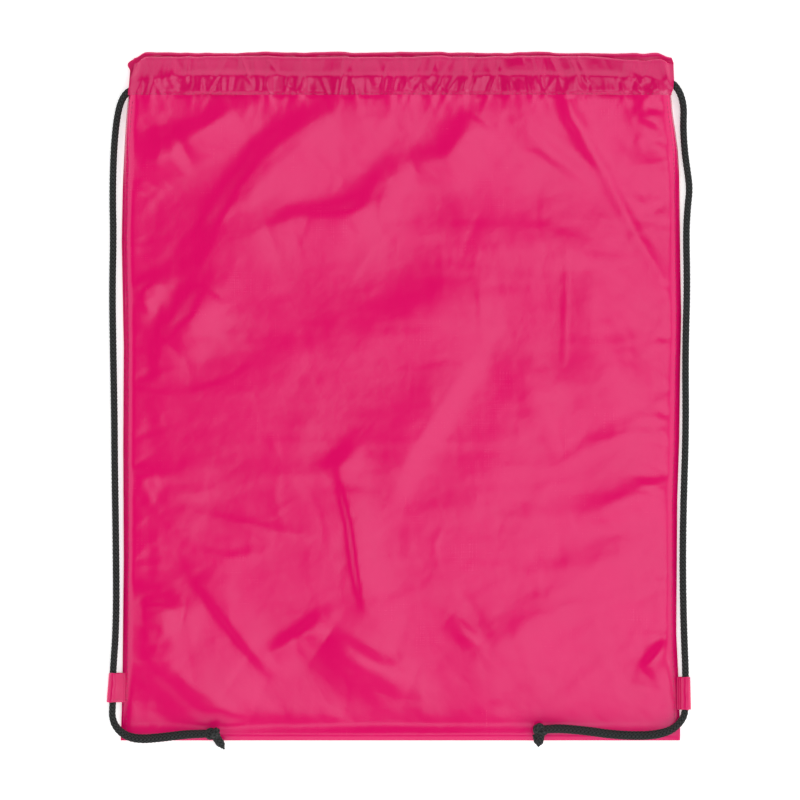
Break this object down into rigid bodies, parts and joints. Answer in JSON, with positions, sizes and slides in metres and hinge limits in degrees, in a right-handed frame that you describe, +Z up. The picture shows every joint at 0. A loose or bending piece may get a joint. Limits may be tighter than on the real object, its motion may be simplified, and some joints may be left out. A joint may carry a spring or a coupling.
{
  "type": "drawstring bag",
  "caption": "Flat-lying drawstring bag of thin cloth: two panels, two corded casings at the mouth, drawcord straps knotted through side tabs near the bottom.",
  "frame": {"origin": "middle of the underside of the bag and its tabs, on the surface that it lies on", "axes": "+Z up through the bag's thickness, +Y from the bottom fold to the mouth, +X to the right as seen from above"},
  "size_m": [0.3565, 0.4253, 0.0144],
  "materials": {
    "panel_cloth": "thin plain-weave polyester with a slight sheen, crumpled",
    "casing_cloth": "the same cloth, doubled and gathered on the cord",
    "tab_cloth": "the same cloth, folded and stitched",
    "thread": "twisted sewing thread",
    "cord": "soft flat braid, slightly shiny"
  },
  "bodies": {
    "bag": {"back_panel": "panel_cloth", "front_panel": "panel_cloth", "back_casing": "casing_cloth", "back_casing_stitches": "thread", "left_side_stitches": "thread", "right_side_stitches": "thread", "left_tab": "tab_cloth", "right_tab": "tab_cloth", "left_tab_stitches": "thread", "right_tab_stitches": "thread", "left_cord_back_run": "cord", "right_cord_back_run": "cord", "left_strap_upper_strand": "cord", "left_strap_lower_strand": "cord", "right_strap_upper_strand": "cord", "right_strap_lower_strand": "cord"},
    "front_lip": {"front_casing": "casing_cloth", "front_casing_stitches": "thread", "left_cord_front_run": "cord", "right_cord_front_run": "cord"},
    "left_cord_end": {"left_end_upper_strand": "cord", "left_end_lower_strand": "cord", "left_knot": "cord", "left_tails": "cord"},
    "right_cord_end": {"right_end_upper_strand": "cord", "right_end_lower_strand": "cord", "right_knot": "cord", "right_tails": "cord"}
  },
  "joints": [
    {"name": "mouth_opening", "type": "hinge", "parent": "bag", "child": "front_lip", "pos_m": [0.0013, 0.1833, 0.014], "axis": [1, 0, 0], "range_deg": [0, 60]},
    {"name": "left_end_swing", "type": "hinge", "parent": "bag", "child": "left_cord_end", "pos_m": [-0.17455, -0.1777, 0.00315], "axis": [0, -1, 0], "range_deg": [0, 150]},
    {"name": "right_end_swing", "type": "hinge", "parent": "bag", "child": "right_cord_end", "pos_m": [0.17455, -0.18115, 0.00315], "axis": [0, 1, 0], "range_deg": [0, 150]}
  ]
}
